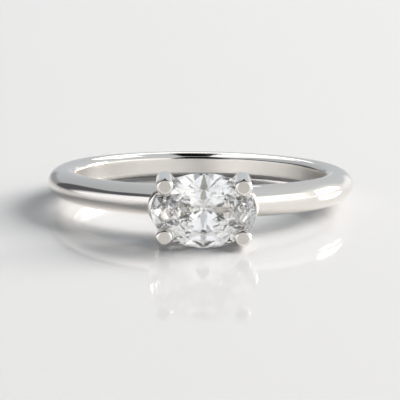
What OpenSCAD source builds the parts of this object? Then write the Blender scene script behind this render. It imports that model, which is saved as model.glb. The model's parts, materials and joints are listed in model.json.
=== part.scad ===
// Solitaire finger ring with an oval stone in four claws, lying on its side.
// Millimetres. The origin is the centre of the finger hole and the stone faces -Y.
// The ring is drawn flat, with the finger hole along Z, and then tipped as it rests.

/* [Shank] */
// Diameter of the finger hole
hole_d = 17.3; // [15.7:0.1:20.6]
// Thickness of the shank, from the finger hole to its outside
shank_t = 1.92; // [1.7:0.02:2.2]
// Width of the shank under the stone
front_w = 2.14; // [2:0.02:2.4]
// Width of the shank opposite the stone
back_w = 1.8; // [1.5:0.02:2]
// Width of the flat finger wall under the stone
wall_w = 1.1; // [0.9:0.02:1.3]

/* [Stone] */
// Length of the stone, across the finger
stone_l = 7; // [6.6:0.1:7.4]
// Width of the stone, along the finger
stone_w = 5; // [4.8:0.1:5.4]
// Distance from the outside of the shank to the stone's girdle
girdle_rise = 3.08; // [2.9:0.02:3.4]
// Height of the crown, from the girdle to the table
crown_h = 0.74; // [0.6:0.02:0.9]
// Depth of the pavilion, from the girdle to the point
pavilion_h = 2.1; // [1.9:0.02:2.2]
// Thickness of the girdle where the main facets meet it
girdle_t = 0.13; // [0.12:0.01:0.2]
// Size of the table, as a part of the stone's size
table_part = 0.58; // [0.5:0.01:0.64]

/* [Setting] */
// Diameter of the claw wire
claw_d = 1.16; // [1.1:0.02:1.3]
// Distance between the claws across the finger, centre to centre
claw_span_x = 5.2; // [5:0.05:5.4]
// Distance between the claws along the finger, centre to centre
claw_span_z = 3.4; // [3.3:0.02:3.7]
// Reach of the claws past the girdle
claw_reach = 1.1; // [0.9:0.02:1.2]
// Diameter of the flat on each claw's tip
tip_flat_d = 0.76; // [0.6:0.02:0.9]
// Distance from the girdle back to where the claws bend towards the shank
bend_drop = 2.15; // [2:0.02:2.3]
// Distance between the claws' feet across the finger
foot_span_x = 3.5; // [3.2:0.05:3.7]
// Distance between the claws' feet along the finger
foot_span_z = 1.1; // [1:0.02:1.2]
// Diameter of the gallery wire
rail_d = 0.7; // [0.6:0.02:0.8]
// Length of the gallery rail, outside
rail_l = 7.42; // [7.3:0.02:7.7]
// Width of the gallery rail, outside
rail_w = 4.5; // [4.3:0.02:4.6]
// Distance from the girdle back to the gallery rail
rail_drop = 1.55; // [1.4:0.02:1.7]

/* [Hidden] */

METAL = [0.84, 0.83, 0.82];
CLEAR = [0.9, 0.93, 0.94];

hole_r = hole_d / 2;
outer_r = hole_r + shank_t;
girdle_y = outer_r + girdle_rise;

// How far out the shank's section is widest, from the finger wall
WIDEST_PART = 0.455;
widest_u = WIDEST_PART * shank_t;
// The inner edge is part of an ellipse: WALL_ANGLE is where it meets the finger wall, and
// EDGE_END is where it stops inside the finger hole, which the drill then clears
WALL_ANGLE = 70;
EDGE_END = 80;
SHANK_STEPS = 80;
EDGE_STEPS = 6;
ARC_STEPS = 14;

// The gallery rail: half sizes of its oval on the wire's centre line, and its place
rail_a = (rail_l - rail_d) / 2;
rail_b = (rail_w - rail_d) / 2;
rail_y = girdle_y - rail_drop;
RAIL_STEPS = 56;
WIRE_SIDES = 14;

// The claws: their centre lines, the end of the straight wire, and the foot in the shank
claw_r = claw_d / 2;
claw_x = claw_span_x / 2;
claw_z = claw_span_z / 2;
elbow_y = girdle_y - bend_drop;
BEND_R = 0.9;
FOOT_R = 0.5;
FOOT_DEPTH = 0.85;
// How much wider the solder makes a claw at its foot
SOLDER_SPREAD = 0.2;
TIP_STEPS = 4;
BEND_STEPS = 6;
LEG_STEPS = 5;
CLAW_SIDES = 20;
foot_x = foot_span_x / 2;
foot_y = outer_r - FOOT_DEPTH;
foot_z = foot_span_z / 2;

// Space between the stone and the metal
SEAT_GAP = 0.05;

// The brilliant cut: its main facets round the crown and again round the pavilion, points
// on the rim of each half facet, the length of the star facets towards the girdle, and the
// length of the lower half facets towards the point
MAINS = 8;
RIM_STEPS = 4;
STAR_LENGTH = 0.5;
LOWER_LENGTH = 0.78;

// Sides of the drill that clears the finger hole
HOLE_SIDES = 128;

// At rest the ring touches the surface with two claws' elbows and the back of the shank
rest_tilt = atan((claw_z + claw_r - back_w / 2) / (elbow_y + hole_r + widest_u));

// Width of the shank at an angle from the stone, as a part of its width there
function taper(a) = 1 + (back_w / front_w - 1) * (1 - cos(a)) / 2;

// Upper half of the shank's section: [distance from the finger wall, half of the width]
function inner_edge() =
    let (
        reach = widest_u / sin(WALL_ANGLE),
        centre = (wall_w - front_w * cos(WALL_ANGLE)) / (1 - cos(WALL_ANGLE)) / 2
    )
    [for (i = [0:EDGE_STEPS - 1])
        let (b = EDGE_END * (1 - i / EDGE_STEPS))
        [widest_u - reach * sin(b), centre + (front_w / 2 - centre) * cos(b)]];
function outer_half() =
    [for (i = [0:ARC_STEPS])
        let (b = 90 * i / ARC_STEPS)
        [widest_u + (shank_t - widest_u) * sin(b), front_w / 2 * cos(b)]];
function section() =
    let (upper = concat(inner_edge(), outer_half()), last = len(upper) - 1)
    concat(upper, [for (i = [last - 1:-1:0]) [upper[i][0], -upper[i][1]]]);

// One solid through rings of points. A loop joins its last ring to its first, and a rod,
// which is no loop, has a flat end at each of them.
module sweep(rings, loop) {
    n = len(rings);
    m = len(rings[0]);
    points = [for (ring = rings) each ring];
    sides = [for (i = [0:n - (loop ? 1 : 2)]) for (j = [0:m - 1])
        let (i2 = (i + 1) % n, j2 = (j + 1) % m)
        each [[i * m + j, i2 * m + j2, i * m + j2], [i * m + j, i2 * m + j, i2 * m + j2]]];
    ends = loop ? [] : [[for (j = [0:m - 1]) j], [for (j = [m - 1:-1:0]) (n - 1) * m + j]];
    polyhedron(points = points, faces = concat(sides, ends));
}

module shank() {
    sweep([for (i = [0:SHANK_STEPS - 1])
        let (a = 360 * (i + 0.5) / SHANK_STEPS)
        [for (p = section())
            let (r = hole_r + p[0])
            [r * sin(a), -r * cos(a), p[1] * taper(a)]]], loop = true);
}

module gallery_rail() {
    sweep([for (i = [0:RAIL_STEPS - 1])
        let (
            a = 360 * i / RAIL_STEPS,
            normal = [rail_b * cos(a), rail_a * sin(a)],
            out = normal / norm(normal)
        )
        [for (j = [0:WIRE_SIDES - 1])
            let (b = 360 * j / WIRE_SIDES, side = rail_d / 2 * cos(b), back = rail_d / 2 * sin(b))
            [rail_a * cos(a) + side * out[0], back - rail_y, rail_b * sin(a) + side * out[1]]]],
        loop = true);
}

// The claw's wire from its tip to its foot: [shift towards the foot, way back from the tip,
// turn, radius, solder]. It is straight as far as the elbow, then bends, and its leg runs to
// the foot. The solder widens it there on the side towards the middle of the shank.
function claw_line() =
    let (
        rim = claw_r - tip_flat_d / 2,
        elbow = girdle_y + claw_reach - elbow_y,
        shift = norm([claw_x - foot_x, claw_z - foot_z]),
        back = elbow_y - foot_y,
        to_foot = norm([back, shift - BEND_R]),
        bend = atan2(shift - BEND_R, back) + asin(BEND_R / to_foot),
        leg = sqrt(to_foot * to_foot - BEND_R * BEND_R),
        knee = [BEND_R * (1 - cos(bend)), elbow + BEND_R * sin(bend)]
    )
    concat(
        [for (i = [0:TIP_STEPS])
            let (b = 90 * i / TIP_STEPS)
            [0, rim * (1 - cos(b)), 0, tip_flat_d / 2 + rim * sin(b), 0]],
        [for (i = [0:BEND_STEPS])
            let (b = bend * i / BEND_STEPS)
            [BEND_R * (1 - cos(b)), elbow + BEND_R * sin(b), b, claw_r, 0]],
        [for (i = [1:LEG_STEPS])
            let (t = i / LEG_STEPS)
            [knee[0] + leg * t * sin(bend), knee[1] + leg * t * cos(bend), bend,
                claw_r + (FOOT_R - claw_r) * t, SOLDER_SPREAD * t * t]]
    );

// The claw in the quarter +X, +Z
module claw() {
    inward = [foot_x - claw_x, 0, foot_z - claw_z];
    across = inward / norm(inward);
    side = [across[2], 0, -across[0]];
    // The first corner of each ring points along Z, where the ring rests on the wire
    first = atan2(side[2], across[2]);
    tip = [claw_x, -girdle_y - claw_reach, claw_z];
    sweep([for (p = claw_line())
        [for (j = [0:CLAW_SIDES - 1])
            let (
                b = first + 360 * j / CLAW_SIDES,
                radius = p[3] + p[4],
                flat = p[0] + radius * cos(b) * cos(p[2]),
                deep = p[1] - radius * cos(b) * sin(p[2])
            )
            tip + flat * across + radius * sin(b) * side + [0, deep, -p[4]]]],
        loop = false);
}

// An oval brilliant with its girdle round the origin and its table facing -Y, grown by gap.
// Its facets are worked out on a round stone of radius 1 and stretched, so they stay flat.
module brilliant(gap = 0) {
    half_l = stone_l / 2 + gap;
    half_w = stone_w / 2 + gap;
    crown = crown_h + gap;
    pavilion = pavilion_h + gap;
    edge = girdle_t / 2 + gap / 2;
    last = MAINS - 1;
    rim = 2 * MAINS * RIM_STEPS;
    step = 360 / MAINS;
    half = step / 2;
    flat_r = table_part * cos(half);
    star_r = flat_r + STAR_LENGTH * (1 - flat_r);
    star_z = crown * (1 - star_r * cos(half)) / (1 - table_part);
    lower_r = 1 - LOWER_LENGTH;
    lower_z = pavilion * (1 - lower_r * cos(half));
    // How far a half facet's plane runs past its chord at each rim point
    past = [for (i = [0:rim - 1])
        cos(half * ((i % RIM_STEPS) / RIM_STEPS - 0.5)) / cos(half / 2) - 1];
    table = [for (k = [0:last]) [table_part, step * k, edge + crown]];
    stars = [for (k = [0:last]) [star_r, step * k + half, edge + star_z]];
    upper_rim = [for (i = [0:rim - 1]) [1, 360 * i / rim, edge - past[i] * star_z / (1 - star_r)]];
    lower_rim = [for (i = [0:rim - 1]) [1, 360 * i / rim, past[i] * lower_z / (1 - lower_r) - edge]];
    lowers = [for (k = [0:last]) [lower_r, step * k + half, -edge - lower_z]];
    point = [0, 0, -edge - pavilion];
    polar = concat(table, stars, upper_rim, lower_rim, lowers, [point]);
    STAR = MAINS;
    UPPER = STAR + MAINS;
    LOWER = UPPER + rim;
    LOWS = LOWER + rim;
    POINT = LOWS + MAINS;
    faces = concat(
        [[for (k = [last:-1:0]) k]],
        [for (k = [0:last]) [(k + 1) % MAINS, STAR + k, k]],
        [for (k = [0:last])
            [STAR + k, UPPER + 2 * k * RIM_STEPS, STAR + (k + last) % MAINS, k]],
        [for (h = [0:2 * MAINS - 1])
            [STAR + floor(h / 2), for (s = [RIM_STEPS:-1:0]) UPPER + (h * RIM_STEPS + s) % rim]],
        [for (i = [0:rim - 1])
            let (j = (i + 1) % rim)
            [UPPER + i, UPPER + j, LOWER + j, LOWER + i]],
        [for (h = [0:2 * MAINS - 1])
            [LOWS + floor(h / 2), for (s = [0:RIM_STEPS]) LOWER + (h * RIM_STEPS + s) % rim]],
        [for (k = [0:last])
            [POINT, LOWS + (k + last) % MAINS, LOWER + 2 * k * RIM_STEPS, LOWS + k]]
    );
    rotate([90, 0, 0]) polyhedron(
        points = [for (p = polar) [half_l * p[0] * cos(p[1]), half_w * p[0] * sin(p[1]), p[2]]],
        faces = faces
    );
}

module band() {
    color(METAL) rotate([-rest_tilt, 0, 0]) difference() {
        union() {
            shank();
            gallery_rail();
            for (x = [0, 1], z = [0, 1]) mirror([x, 0, 0]) mirror([0, 0, z]) claw();
        }
        cylinder(h = 3 * front_w, r = hole_r, center = true, $fn = HOLE_SIDES);
        translate([0, -girdle_y, 0]) brilliant(SEAT_GAP);
    }
}

module stone() {
    color(CLEAR) rotate([-rest_tilt, 0, 0]) translate([0, -girdle_y, 0]) brilliant();
}

band();
stone();
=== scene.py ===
import json
import math

import bmesh
import bpy
from mathutils import Matrix, Vector


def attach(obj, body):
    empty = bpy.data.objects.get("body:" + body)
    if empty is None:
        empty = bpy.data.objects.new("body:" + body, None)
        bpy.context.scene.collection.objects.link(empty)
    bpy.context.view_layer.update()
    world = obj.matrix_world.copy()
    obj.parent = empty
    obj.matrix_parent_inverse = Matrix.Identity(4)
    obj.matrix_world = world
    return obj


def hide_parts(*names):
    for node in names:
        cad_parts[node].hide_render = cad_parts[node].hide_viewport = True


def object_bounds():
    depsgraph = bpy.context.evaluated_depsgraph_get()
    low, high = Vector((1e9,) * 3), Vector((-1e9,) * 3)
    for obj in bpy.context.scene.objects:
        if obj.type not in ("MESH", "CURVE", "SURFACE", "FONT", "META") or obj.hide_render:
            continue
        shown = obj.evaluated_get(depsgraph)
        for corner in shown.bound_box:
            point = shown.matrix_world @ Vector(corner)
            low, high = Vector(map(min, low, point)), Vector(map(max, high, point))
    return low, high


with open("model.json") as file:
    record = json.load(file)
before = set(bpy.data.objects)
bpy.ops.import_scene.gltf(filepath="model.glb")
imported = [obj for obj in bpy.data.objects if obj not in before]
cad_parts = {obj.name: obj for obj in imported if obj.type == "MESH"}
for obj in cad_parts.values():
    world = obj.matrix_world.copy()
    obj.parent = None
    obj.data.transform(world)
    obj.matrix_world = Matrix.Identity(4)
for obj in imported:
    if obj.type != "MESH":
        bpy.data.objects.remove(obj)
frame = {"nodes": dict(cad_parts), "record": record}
cad_low, cad_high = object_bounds()

# Sizes in millimetres, in the ring's own frame: its centre is the origin, the finger hole
# runs along Z and the stone faces -Y. The hole's radius and the tilt come from the frame.
MM = 0.001
HOLE = frame["record"]["mounts"][0]
HOLE_R = HOLE["dims"]["r_mm"]
TILT = math.atan2(HOLE["axis"][1], HOLE["axis"][2])

# The shank: its thickness, its width at the stone and at the back, the width of the finger
# wall, and how far out it is widest, as a part of its thickness
SHANK_T = 1.92
FRONT_W = 2.14
BACK_W = 1.8
WALL_W = 1.1
WIDEST_PART = 0.455
OUTER_R = HOLE_R + SHANK_T

# The stone: its girdle's distance from the shank, and the space between it and the claws
GIRDLE_RISE = 3.08
GIRDLE_Y = OUTER_R + GIRDLE_RISE
SEAT_GAP = 0.05

# The claws: the wire, half of the distances between them, their reach past the girdle and the
# flat on the tip
CLAW_R = 0.58
CLAW_X = 2.6
CLAW_Z = 1.7
CLAW_REACH = 1.1
TIP_FLAT_R = 0.38
# The bend towards the shank, and the foot in it
BEND_DROP = 2.15
BEND_R = 0.9
ELBOW_Y = GIRDLE_Y - BEND_DROP
FOOT_X = 1.75
FOOT_Z = 0.55
FOOT_DEPTH = 0.85
FOOT = Vector((FOOT_X, -(OUTER_R - FOOT_DEPTH), FOOT_Z))
FOOT_R = 0.5
# How much wider the solder makes a claw at its foot
SOLDER_SPREAD = 0.2
# Rings along a claw: on the flat of its tip, as parts of the flat's radius, then steps round
# the rim, along the straight wire, round the bend and down the leg
TIP_PARTS = (0.25, 0.6, 0.9, 0.985)
RIM_STEPS = 12
WIRE_STEPS = 8
BEND_STEPS = 14
LEG_STEPS = 24

# The gallery rail: the wire, half sizes of the oval on its centre line, and its place
RAIL_R = 0.35
RAIL_A = 3.36
RAIL_B = 1.9
RAIL_DROP = 1.55
RAIL_Y = GIRDLE_Y - RAIL_DROP

# From the ring's own frame to the frame it rests in, and to metres
REST = Matrix.Rotation(-TILT, 4, "X") @ Matrix.Scale(MM, 4)
SHARP = math.radians(30)


def new_piece(name, bm):
    """Makes a smooth piece from a mesh drawn in the ring's own frame."""
    bm.transform(REST)
    bmesh.ops.recalc_face_normals(bm, faces=bm.faces)
    mesh = bpy.data.meshes.new(name)
    bm.to_mesh(mesh)
    bm.free()
    mesh.shade_smooth()
    piece = bpy.data.objects.new(name, mesh)
    bpy.context.scene.collection.objects.link(piece)
    return piece


def skin(bm, rings, closed):
    """Joins rings of points with faces. A closed loop also joins the last ring to the first."""
    loops = [[bm.verts.new(p) for p in ring] for ring in rings]
    pairs = list(zip(loops, loops[1:]))
    if closed:
        pairs.append((loops[-1], loops[0]))
    for one, two in pairs:
        for i in range(len(one)):
            j = (i + 1) % len(one)
            bm.faces.new((one[i], one[j], two[j], two[i]))
    return loops


def taper(angle):
    """Width of the shank at an angle from the stone, as a part of its width there."""
    return 1 + (BACK_W / FRONT_W - 1) * (1 - math.cos(angle)) / 2


def shank_section(edge_steps=10, arc_steps=36, wall_steps=6):
    """Points round the shank's section: distance from the finger wall, and half width."""
    widest = WIDEST_PART * SHANK_T
    upper = []
    for i in range(edge_steps):
        b = math.pi / 2 * (1 - i / edge_steps)
        upper.append((widest * (1 - math.sin(b)), WALL_W / 2 + (FRONT_W - WALL_W) / 2 * math.cos(b)))
    for i in range(arc_steps + 1):
        b = math.pi / 2 * i / arc_steps
        upper.append((widest + (SHANK_T - widest) * math.sin(b), FRONT_W / 2 * math.cos(b)))
    lower = [(u, -v) for u, v in reversed(upper[:-1])]
    wall = [(0, WALL_W * (i / wall_steps - 0.5)) for i in range(1, wall_steps)]
    return upper + lower + wall


def make_shank(steps=360):
    """The shank: its section swept round the finger hole, narrower towards the back."""
    bm = bmesh.new()
    section = shank_section()
    rings = []
    for i in range(steps):
        a = 2 * math.pi * i / steps
        rings.append([
            ((HOLE_R + u) * math.sin(a), -(HOLE_R + u) * math.cos(a), v * taper(a))
            for u, v in section
        ])
    skin(bm, rings, closed=True)
    return new_piece("shank", bm)


def make_rail(steps=160, sides=32):
    """The gallery rail: a round wire bent to an oval behind the stone."""
    bm = bmesh.new()
    rings = []
    for i in range(steps):
        a = 2 * math.pi * i / steps
        out = Vector((RAIL_B * math.cos(a), RAIL_A * math.sin(a))).normalized()
        ring = []
        for j in range(sides):
            b = 2 * math.pi * j / sides
            side = RAIL_R * math.cos(b)
            ring.append((
                RAIL_A * math.cos(a) + side * out.x,
                RAIL_R * math.sin(b) - RAIL_Y,
                RAIL_B * math.sin(a) + side * out.y,
            ))
        rings.append(ring)
    skin(bm, rings, closed=True)
    return new_piece("gallery_rail", bm)


def claw_line():
    """The claw in the quarter +X, +Z, tip to foot: centres, directions and radii."""
    inward = Vector((FOOT.x - CLAW_X, 0, FOOT.z - CLAW_Z))
    shift = inward.length
    inward.normalize()
    back = Vector((0, 1, 0))
    depth = FOOT.y + ELBOW_Y
    to_foot = math.hypot(depth, shift - BEND_R)
    bend = math.atan2(shift - BEND_R, depth) + math.asin(BEND_R / to_foot)
    leg = math.sqrt(to_foot ** 2 - BEND_R ** 2)
    rim = CLAW_R - TIP_FLAT_R
    tip = Vector((CLAW_X, -(GIRDLE_Y + CLAW_REACH), CLAW_Z))
    line = [(tip, back, TIP_FLAT_R * part) for part in TIP_PARTS]
    for i in range(RIM_STEPS + 1):
        b = math.pi / 2 * i / RIM_STEPS
        line.append((tip + back * rim * (1 - math.cos(b)), back, TIP_FLAT_R + rim * math.sin(b)))
    elbow = Vector((CLAW_X, -ELBOW_Y, CLAW_Z))
    start = tip.y + rim
    for i in range(1, WIRE_STEPS + 1):
        y = start + (elbow.y - start) * i / WIRE_STEPS
        line.append((Vector((CLAW_X, y, CLAW_Z)), back, CLAW_R))
    for i in range(1, BEND_STEPS + 1):
        b = bend * i / BEND_STEPS
        centre = elbow + inward * BEND_R * (1 - math.cos(b)) + back * BEND_R * math.sin(b)
        line.append((centre, back * math.cos(b) + inward * math.sin(b), CLAW_R))
    start, way, _ = line[-1]
    for i in range(1, LEG_STEPS + 1):
        t = i / LEG_STEPS
        solder = SOLDER_SPREAD * t * t
        centre = start + way * leg * t - Vector((0, 0, solder))
        line.append((centre, way, CLAW_R + (FOOT_R - CLAW_R) * t + solder))
    return line


def stone_seat():
    """The stone grown by the gap that it sits in, to cut the claws with."""
    bm = bmesh.new()
    bm.from_mesh(frame["nodes"]["stone"].data)
    bmesh.ops.remove_doubles(bm, verts=bm.verts, dist=MM / 1000)
    bmesh.ops.recalc_face_normals(bm, faces=bm.faces)
    bm.normal_update()
    for vert in bm.verts:
        vert.co += vert.normal * SEAT_GAP * MM
    mesh = bpy.data.meshes.new("seat")
    bm.to_mesh(mesh)
    bm.free()
    seat = bpy.data.objects.new("seat", mesh)
    bpy.context.scene.collection.objects.link(seat)
    return seat


def cut_seat(piece, seat):
    """Cuts the seat for the stone out of a claw."""
    cut = piece.modifiers.new("seat", "BOOLEAN")
    cut.object = seat
    cut.solver = "EXACT"
    bpy.context.view_layer.update()
    done = bpy.data.meshes.new_from_object(piece.evaluated_get(bpy.context.evaluated_depsgraph_get()))
    piece.modifiers.clear()
    piece.data = done
    done.name = piece.name
    done.set_sharp_from_angle(angle=SHARP)


def make_claw(name, side_x, side_z, seat, sides=64):
    """One claw, mirrored into its quarter, with the seat for the stone cut out of it."""
    bm = bmesh.new()
    rings = []
    for centre, way, radius in claw_line():
        across = Vector((0, 0, 1)).cross(way).normalized()
        upward = way.cross(across)
        ring = []
        for j in range(sides):
            b = 2 * math.pi * j / sides
            p = centre + across * radius * math.cos(b) + upward * radius * math.sin(b)
            ring.append((p.x * side_x, p.y, p.z * side_z))
        rings.append(ring)
    loops = skin(bm, rings, closed=False)
    bm.faces.new(loops[0])
    bm.faces.new(loops[-1])
    piece = new_piece(name, bm)
    cut_seat(piece, seat)
    return piece


seat = stone_seat()
METAL_PIECES = [make_shank(), make_rail()]
for side_x, across_name in ((-1, "left"), (1, "right")):
    for side_z, along_name in ((-1, "lower"), (1, "upper")):
        METAL_PIECES.append(make_claw(f"claw_{along_name}_{across_name}", side_x, side_z, seat))
bpy.data.objects.remove(seat)
for piece in METAL_PIECES:
    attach(piece, "root")
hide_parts("band")
stone = frame["nodes"]["stone"]

# The metal: its tint, the roughness of the satin finger wall, and the distances from the axis
# of the finger hole between which the satin turns to polish
METAL_TINT = (0.86, 0.83, 0.79, 1)
SATIN = 0.3
SATIN_END = (HOLE_R + 0.002, HOLE_R + 0.012)
# The polish: its roughness, which varies like a faint haze, and its hairlines
HAZE = {"scale": 0.9, "stretch": (1, 1, 1), "low": 0.035, "high": 0.075}
HAIRLINES = {"scale": 9.0, "stretch": (1, 1, 7), "low": 0.0, "high": 1.0, "detail": 3.0}
HAIRLINE_STRENGTH = 0.02
HAIRLINE_DEPTH = 0.01

# The stone, and the breath of colour inside it, which passes from cool to warm
STONE = {"Roughness": 0.0, "IOR": 1.95, "Transmission_Weight": 0.965}
STONE_COOL = (0.965, 0.97, 0.99, 1)
STONE_WARM = (0.97, 0.975, 0.955, 1)
STONE_SPREAD = {"scale": 0.25, "stretch": (1, 1, 1), "low": 0.0, "high": 1.0}

# The part of the noise's values that is spread over the whole range asked for
NOISE_LOW = 0.3
NOISE_HIGH = 0.7


def principled(name, **inputs):
    """A material with one Principled shader, its sockets set by name."""
    material = bpy.data.materials.new(name)
    material.use_nodes = True
    shader = material.node_tree.nodes["Principled BSDF"]
    for key, value in inputs.items():
        shader.inputs[key.replace("_", " ")].default_value = value
    return material, shader


def noise_range(material, scale, stretch, low, high, detail=2.0):
    """Noise in the piece's own millimetres, stretched along each axis and brought into a range."""
    nodes, links = material.node_tree.nodes, material.node_tree.links
    coords = nodes.new("ShaderNodeTexCoord")
    mapping = nodes.new("ShaderNodeMapping")
    mapping.inputs["Scale"].default_value = [scale / (MM * s) for s in stretch]
    noise = nodes.new("ShaderNodeTexNoise")
    noise.inputs["Scale"].default_value = 1.0
    noise.inputs["Detail"].default_value = detail
    spread = nodes.new("ShaderNodeMapRange")
    spread.inputs["From Min"].default_value = NOISE_LOW
    spread.inputs["From Max"].default_value = NOISE_HIGH
    spread.inputs["To Min"].default_value = low
    spread.inputs["To Max"].default_value = high
    links.new(coords.outputs["Object"], mapping.inputs["Vector"])
    links.new(mapping.outputs["Vector"], noise.inputs["Vector"])
    links.new(noise.outputs["Fac"], spread.inputs["Value"])
    return spread.outputs["Result"]


def satin_inside(material, polish):
    """Roughness that is satin on the finger wall and polished everywhere else."""
    nodes, links = material.node_tree.nodes, material.node_tree.links
    coords = nodes.new("ShaderNodeTexCoord")
    turn = nodes.new("ShaderNodeMapping")
    turn.inputs["Rotation"].default_value = (TILT, 0, 0)
    flat = nodes.new("ShaderNodeVectorMath")
    flat.operation = "MULTIPLY"
    flat.inputs[1].default_value = (1, 1, 0)
    distance = nodes.new("ShaderNodeVectorMath")
    distance.operation = "LENGTH"
    edge = nodes.new("ShaderNodeMapRange")
    edge.inputs["From Min"].default_value = SATIN_END[0] * MM
    edge.inputs["From Max"].default_value = SATIN_END[1] * MM
    blend = nodes.new("ShaderNodeMix")
    blend.inputs["A"].default_value = SATIN
    links.new(coords.outputs["Object"], turn.inputs["Vector"])
    links.new(turn.outputs["Vector"], flat.inputs[0])
    links.new(flat.outputs["Vector"], distance.inputs[0])
    links.new(distance.outputs["Value"], edge.inputs["Value"])
    links.new(edge.outputs["Result"], blend.inputs["Factor"])
    links.new(polish, blend.inputs["B"])
    return blend.outputs["Result"]


def polished_metal():
    """White metal, polished: the faint haze and the fine hairlines that a polishing mop leaves."""
    material, shader = principled("white_metal", Base_Color=METAL_TINT, Metallic=1.0)
    links = material.node_tree.links
    haze = noise_range(material, **HAZE)
    links.new(satin_inside(material, haze), shader.inputs["Roughness"])
    bump = material.node_tree.nodes.new("ShaderNodeBump")
    bump.inputs["Strength"].default_value = HAIRLINE_STRENGTH
    bump.inputs["Distance"].default_value = HAIRLINE_DEPTH * MM
    links.new(noise_range(material, **HAIRLINES), bump.inputs["Height"])
    links.new(bump.outputs["Normal"], shader.inputs["Normal"])
    return material


def cut_stone():
    """The stone: clear, with a strong bend of the light, and a breath of colour inside it."""
    material, shader = principled("clear_stone", **STONE)
    links = material.node_tree.links
    colour = material.node_tree.nodes.new("ShaderNodeMix")
    colour.data_type = "RGBA"
    colour.inputs["A"].default_value = STONE_COOL
    colour.inputs["B"].default_value = STONE_WARM
    links.new(noise_range(material, **STONE_SPREAD), colour.inputs["Factor"])
    links.new(colour.outputs["Result"], shader.inputs["Base Color"])
    return material


metal = polished_metal()
for piece in METAL_PIECES:
    piece.data.materials.clear()
    piece.data.materials.append(metal)
stone.data.materials.clear()
stone.data.materials.append(cut_stone())

# The floor: half of its side in metres, and its pale glossy surface
FLOOR_HALF = 2.0
FLOOR_GLOSS = {"Base_Color": (0.6, 0.6, 0.6, 1), "Roughness": 0.05, "IOR": 1.12}


def make_floor():
    """A plain floor under the lowest point of the ring."""
    mesh = bpy.data.meshes.new("floor")
    bm = bmesh.new()
    bmesh.ops.create_grid(bm, x_segments=1, y_segments=1, size=FLOOR_HALF)
    bmesh.ops.translate(bm, verts=bm.verts, vec=(0, 0, cad_low.z))
    bm.to_mesh(mesh)
    bm.free()
    gloss, _ = principled("floor_gloss", **FLOOR_GLOSS)
    mesh.materials.append(gloss)
    floor = bpy.data.objects.new("floor", mesh)
    bpy.context.scene.collection.objects.link(floor)
    return floor


make_floor()

# The plain sky on both sides, and the boards laid over it in order: corners as azimuth and
# elevation, the blur of the edges in degrees, and the colour
PLAIN_LEFT = (0.455, 0.475, 0.505)
PLAIN_RIGHT = (0.66, 0.69, 0.71)
DARK = (0.1, 0.1, 0.11)
LEFT_WHITE = (1.08, 1.09, 1.12)
BOARDS = (
    # Left: a grey board for the outer edge of the shank, a dark one, which draws the dark line
    # along it, and a white one under that
    ([(-12, -20), (-12, 9), (-45, 11), (-45, -20)], 3, (0.33, 0.34, 0.36)),
    ([(-38, -30), (-40, 6), (-50, 22), (-70, 33), (-105, 36), (-105, -30)], 4, DARK),
    ([(-93, -30), (-93, 37), (-125, 47), (-160, 47), (-160, -30)], 4, DARK),
    ([(-52, -30), (-60, -6), (-80, 13), (-116, 19.5), (-116, -30)], 8, LEFT_WHITE),
    ([(-100, -30), (-100, 16.5), (-152, 28.5), (-152, -30)], 4, LEFT_WHITE),
    # Right: a long white board, and a lower one that carries it on towards the back
    ([(42, -10), (42, 4), (152, 33), (152, -10)], 3, (1.3, 1.29, 1.27)),
    ([(15, -10), (15, 9), (60, 9), (60, -10)], 4, (1.0, 1.01, 1.0)),
    # Front: dark above, for the dark rims of the claws, and white below, for the stone
    ([(152, 16), (152, 75), (-152, 75), (-152, 16)], 3, (0.01, 0.01, 0.01)),
    ([(148, -5), (148, 14), (-148, 14), (-148, -5)], 3, (1.1, 1.1, 1.15)),
    # Back: a black strip that passes overhead
    ([(-0.5, 25), (2, 25), (125, 78), (-146, 82)], 1, (0.005, 0.005, 0.005)),
    # The soft light round the bright lamp on the right, and that lamp, as the polish sees it
    ([(40, 2), (44, 29), (84, 33), (92, 4)], 7, (0.9, 0.91, 0.9)),
    ([(50, 7), (54, 21), (74, 24), (80, 8)], 3, (18.0, 17.4, 16.6)),
)
# A round grey patch in the middle of the low front board, which tones the ends of the claws
FRONT_PATCH = (181, 8)
PATCH_R = 7
PATCH_BLUR = 2
PATCH_COLOUR = (0.4, 0.4, 0.37)


def sky_way(azimuth, elevation):
    """Direction in the sky. Azimuth 0 is behind the ring and 90 on its right, in degrees."""
    a, e = math.radians(azimuth), math.radians(elevation)
    return Vector((math.sin(a) * math.cos(e), math.cos(a) * math.cos(e), math.sin(e)))


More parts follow.
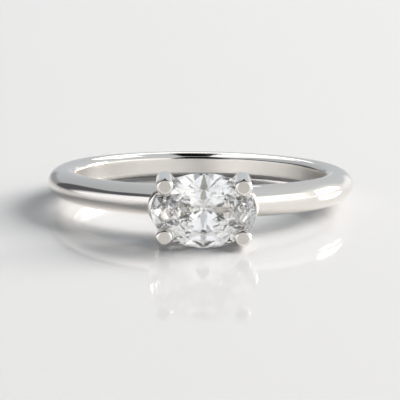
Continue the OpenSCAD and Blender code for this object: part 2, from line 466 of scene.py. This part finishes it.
class Sky:
    """The studio as the ring sees it: soft boxes of light and dark boards round a plain sky."""

    def __init__(self, left, right):
        world = bpy.data.worlds.new("studio")
        bpy.context.scene.world = world
        world.use_nodes = True
        self.nodes, self.links = world.node_tree.nodes, world.node_tree.links
        self.background = self.nodes["Background"]
        coords = self.nodes.new("ShaderNodeTexCoord")
        self.way = coords.outputs["Generated"]
        side = self.step(Vector((1, 0, 0)), 0.0, 1.0)
        self.colour = self.mix(side, left, right)

    def step(self, axis, middle, blur):
        """A soft step, 0 to 1, where the way's share along an axis passes a middle value."""
        dot = self.nodes.new("ShaderNodeVectorMath")
        dot.operation = "DOT_PRODUCT"
        self.links.new(self.way, dot.inputs[0])
        dot.inputs[1].default_value = axis
        ramp = self.nodes.new("ShaderNodeMapRange")
        ramp.interpolation_type = "SMOOTHSTEP"
        ramp.inputs["From Min"].default_value = middle - blur
        ramp.inputs["From Max"].default_value = middle + blur
        self.links.new(dot.outputs["Value"], ramp.inputs["Value"])
        return ramp.outputs["Result"]

    def mix(self, factor, under, over):
        """Lays one colour over another."""
        node = self.nodes.new("ShaderNodeMix")
        node.data_type = "RGBA"
        self.links.new(factor, node.inputs["Factor"])
        for key, value in (("A", under), ("B", over)):
            if isinstance(value, tuple):
                node.inputs[key].default_value = (*value, 1)
            else:
                self.links.new(value, node.inputs[key])
        return node.outputs["Result"]

    def board(self, corners, blur, colour):
        """Lays a board with straight edges, given by its corners in order, over the sky."""
        ways = [sky_way(*corner) for corner in corners]
        middle = sum(ways, Vector())
        factor = None
        for one, two in zip(ways, ways[1:] + ways[:1]):
            axis = one.cross(two).normalized()
            if axis.dot(middle) < 0:
                axis.negate()
            edge = self.step(axis, 0.0, math.radians(blur))
            if factor is None:
                factor = edge
                continue
            both = self.nodes.new("ShaderNodeMath")
            both.operation = "MULTIPLY"
            self.links.new(factor, both.inputs[0])
            self.links.new(edge, both.inputs[1])
            factor = both.outputs[0]
        self.colour = self.mix(factor, self.colour, colour)

    def disc(self, azimuth, elevation, radius, blur, colour):
        """Lays a round board over the sky."""
        near, far = math.cos(math.radians(radius - blur)), math.cos(math.radians(radius + blur))
        factor = self.step(sky_way(azimuth, elevation), (near + far) / 2, (near - far) / 2)
        self.colour = self.mix(factor, self.colour, colour)

    def finish(self):
        """Shows all that was laid over the sky."""
        self.links.new(self.colour, self.background.inputs["Color"])


sky = Sky(PLAIN_LEFT, PLAIN_RIGHT)
for corners, blur, colour in BOARDS:
    sky.board(corners, blur, colour)
sky.disc(*FRONT_PATCH, PATCH_R, PATCH_BLUR, PATCH_COLOUR)
sky.finish()

# The lamp that lights the floor and casts the soft shadows, in metres. The polish shows its
# board in the sky instead.
KEY_WAY = sky_way(62, 32)
KEY_DISTANCE = 0.8
KEY_SIZE = (0.7, 0.4)
KEY_LIGHT = 13.2
KEY_COLOUR = (1, 0.972, 0.94)
# Two cards close behind the ring, which whiten the back of the shank on both sides of the black
# strip: middle, turn in degrees, width and length, and strength of light
WHITE = (1, 1, 1)
UP = Vector((0, 0, 1))
CARDS = {
    "left_card": ((3.2, 43, 24), 9.7, (5, 44), 1.4),
    "right_card": ((-2.8, 24, 24), -3.5, (5, 38), 0.7),
}


def softbox(name, place, facing, turn, size, light, colour, seen, lit=None):
    """A soft rectangular lamp at a place, facing back along a way. The polish shows it if seen.

    It lights everything, or the objects of one collection.
    """
    lamp = bpy.data.lights.new(name, "AREA")
    lamp.shape = "RECTANGLE"
    lamp.size, lamp.size_y = size
    lamp.energy = math.pi * size[0] * size[1] * light
    lamp.color = colour
    box = bpy.data.objects.new(name, lamp)
    bpy.context.scene.collection.objects.link(box)
    aim = facing.to_track_quat("Z", "Y").to_matrix().to_4x4()
    box.matrix_world = Matrix.Translation(place) @ aim @ Matrix.Rotation(math.radians(turn), 4, "Z")
    box.visible_glossy = seen
    box.visible_transmission = False
    box.light_linking.receiver_collection = lit


# The cards light the metal alone, so that the floor doesn't mirror them
lit_metal = bpy.data.collections.new("lit_metal")
for piece in METAL_PIECES:
    lit_metal.objects.link(piece)
softbox("key", KEY_WAY * KEY_DISTANCE, KEY_WAY, 0, KEY_SIZE, KEY_LIGHT, KEY_COLOUR, seen=False)
for name, (middle, turn, size, light) in CARDS.items():
    size = [side * MM for side in size]
    softbox(name, Vector(middle) * MM, UP, turn, size, light, WHITE, seen=True, lit=lit_metal)

scene = bpy.context.scene
scene.view_settings.view_transform = "Standard"
scene.cycles.max_bounces = 32
scene.cycles.glossy_bounces = 12
scene.cycles.transmission_bounces = 28
scene.cycles.use_denoising = True

# The camera, fitted to the photograph: distance from the ring's centre, elevation above the
# ring's own plane, and the place in the 400 pixel picture where the ring's centre is seen
FRAME_PX = 400
CAMERA_DISTANCE = 291 * MM
FOCAL_PX = 4195
SENSOR = 36
ELEVATION = math.radians(7.87)
AZIMUTH = math.radians(1.015)
ROLL = math.radians(0.727)
CENTRE_PX = Vector((200.41, 182.24))
# The nearest and farthest that it sees, in metres
CLIP_START = 0.01
CLIP_END = 10


def make_camera():
    """The camera, turned so that the ring's centre falls on its pixel once it is rolled."""
    data = bpy.data.cameras.new("camera")
    data.sensor_width = SENSOR
    data.lens = SENSOR * FOCAL_PX / FRAME_PX
    data.clip_start = CLIP_START
    data.clip_end = CLIP_END
    camera = bpy.data.objects.new("camera", data)
    bpy.context.scene.collection.objects.link(camera)
    away = Vector((
        -math.sin(AZIMUTH) * math.cos(ELEVATION),
        -math.cos(AZIMUTH) * math.cos(ELEVATION),
        math.sin(ELEVATION),
    ))
    away = REST.to_3x3().normalized() @ away
    aim = (-away).to_track_quat("-Z", "Y").to_matrix()
    offset = Vector((CENTRE_PX.x - FRAME_PX / 2, FRAME_PX / 2 - CENTRE_PX.y))
    turned = Matrix.Rotation(ROLL, 2) @ offset
    aim = aim @ Matrix.Rotation(math.atan2(turned.x, FOCAL_PX), 3, "Y")
    aim = aim @ Matrix.Rotation(-math.atan2(turned.y, FOCAL_PX), 3, "X")
    aim = aim @ Matrix.Rotation(ROLL, 3, "Z")
    camera.matrix_world = Matrix.Translation(away * CAMERA_DISTANCE) @ aim.to_4x4()
    return camera


scene.camera = make_camera()
